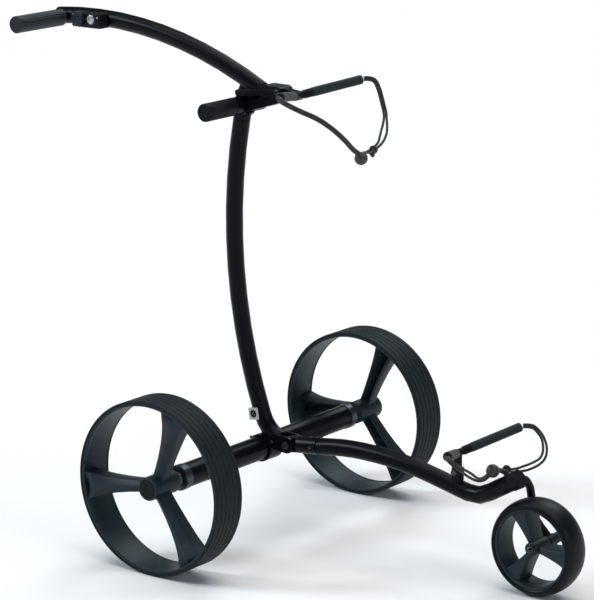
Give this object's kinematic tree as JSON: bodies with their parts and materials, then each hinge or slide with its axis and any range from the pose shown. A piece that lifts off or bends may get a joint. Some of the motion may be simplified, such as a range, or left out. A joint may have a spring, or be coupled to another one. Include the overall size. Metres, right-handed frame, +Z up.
{
  "type": "electric golf trolley",
  "caption": "Folding three-wheel electric golf trolley with curved tube frame, bag rests with elastics, side grip with speed dial and hub motors in the axle tube.",
  "frame": {"origin": "on the floor, under the middle of the bounding box", "axes": "+X forward, towards the front wheel; +Y left; +Z up"},
  "size_m": [1.112, 0.638, 0.8832],
  "materials": {
    "satin_black": "satin powder coat",
    "black_plastic": "moulded, fine grain",
    "slate_plastic": "moulded, satin",
    "tyre_rubber": "ribbed tread",
    "grip_rubber": "ribbed, matt",
    "foam": "closed-cell foam",
    "elastic": "braided sleeve over rubber",
    "ball_rubber": "dimpled",
    "steel": "satin",
    "dark_steel": "black oxide",
    "socket_grey": "moulded, matt",
    "board_green": "lacquered circuit board"
  },
  "bodies": {
    "frame": {"axle_tube": "satin_black", "end_flange_left": "dark_steel", "end_flange_right": "dark_steel", "shaft_bearing_left": "steel", "shaft_bearing_right": "steel", "gearbox_left": "steel", "gearbox_right": "steel", "motor_left": "dark_steel", "motor_right": "dark_steel", "control_board": "board_green", "mast": "satin_black", "fold_bolt": "dark_steel", "socket_body": "black_plastic", "socket_plate": "socket_grey", "head_bracket": "satin_black", "upper_sleeve_left": "foam", "upper_sleeve_right": "foam", "clamp_bolt": "satin_black", "upper_far_strand_a": "elastic", "upper_far_strand_b": "elastic", "upper_near_strand_a": "elastic", "upper_near_strand_b": "elastic", "upper_ball": "ball_rubber", "upper_knot": "elastic"},
    "rear_wheel_left": {"rear_tyre_left": "tyre_rubber", "rear_rim_left": "slate_plastic", "hub_cap_left": "black_plastic", "drive_shaft_left": "steel"},
    "rear_wheel_right": {"rear_tyre_right": "tyre_rubber", "rear_rim_right": "slate_plastic", "hub_cap_right": "black_plastic", "drive_shaft_right": "steel"},
    "front_section": {"front_coupler": "satin_black", "coupler_screw": "dark_steel", "front_tube": "satin_black", "front_fork": "black_plastic", "front_axle_bolt": "dark_steel", "front_axle_nut": "black_plastic", "lower_bracket": "black_plastic", "bracket_screw": "steel", "lower_sleeve_left": "foam", "lower_sleeve_right": "foam", "lower_far_strand_a": "elastic", "lower_far_strand_b": "elastic", "lower_near_strand_a": "elastic", "lower_near_strand_b": "elastic", "lower_ball": "ball_rubber", "lower_knot": "elastic"},
    "front_wheel": {"front_tyre": "tyre_rubber", "front_rim": "slate_plastic", "front_wheel_bush": "steel"},
    "handle": {"handle_tube": "satin_black", "grip_bar": "steel", "side_grip": "grip_rubber", "control_housing": "black_plastic", "button_spring": "steel"},
    "clamp_knob": {"clamp_knob": "grip_rubber"},
    "lock_lever": {"lock_lever": "satin_black"},
    "speed_dial": {"speed_dial": "black_plastic"},
    "push_button": {"push_button": "steel"}
  },
  "joints": [
    {"name": "rear_wheel_left_spin", "type": "hinge", "parent": "frame", "child": "rear_wheel_left", "pos_m": [-0.091, 0, 0.15], "axis": [0, 1, 0], "continuous": true},
    {"name": "rear_wheel_right_spin", "type": "hinge", "parent": "frame", "child": "rear_wheel_right", "pos_m": [-0.091, 0, 0.15], "axis": [0, 1, 0], "continuous": true},
    {"name": "front_fold", "type": "hinge", "parent": "frame", "child": "front_section", "pos_m": [-0.035, 0, 0.164], "axis": [0, -1, 0], "range_deg": [0, 70]},
    {"name": "front_wheel_spin", "type": "hinge", "parent": "front_section", "child": "front_wheel", "pos_m": [0.474, 0, 0.082], "axis": [0, 1, 0], "continuous": true},
    {"name": "handle_fold", "type": "hinge", "parent": "frame", "child": "handle", "pos_m": [-0.137, 0, 0.748], "axis": [0, -1, 0], "range_deg": [0, 85]},
    {"name": "clamp_knob_turn", "type": "hinge", "parent": "frame", "child": "clamp_knob", "pos_m": [-0.137, -0.07, 0.748], "axis": [0, 1, 0], "range_deg": [0, 540]},
    {"name": "lock_lever_lift", "type": "hinge", "parent": "frame", "child": "lock_lever", "pos_m": [-0.05, -0.0188, 0.7805], "axis": [0, 1, 0], "range_deg": [0, 70]},
    {"name": "speed_dial_turn", "type": "hinge", "parent": "handle", "child": "speed_dial", "pos_m": [-0.4796, -0.034, 0.869], "axis": [0, 1, 0], "range_deg": [0, 270]},
    {"name": "button_press", "type": "slide", "parent": "handle", "child": "push_button", "axis": [0, 1, 0], "range_m": [0, 0.0025], "stiffness_N_per_m": 700, "springref_m": -0.001}
  ]
}
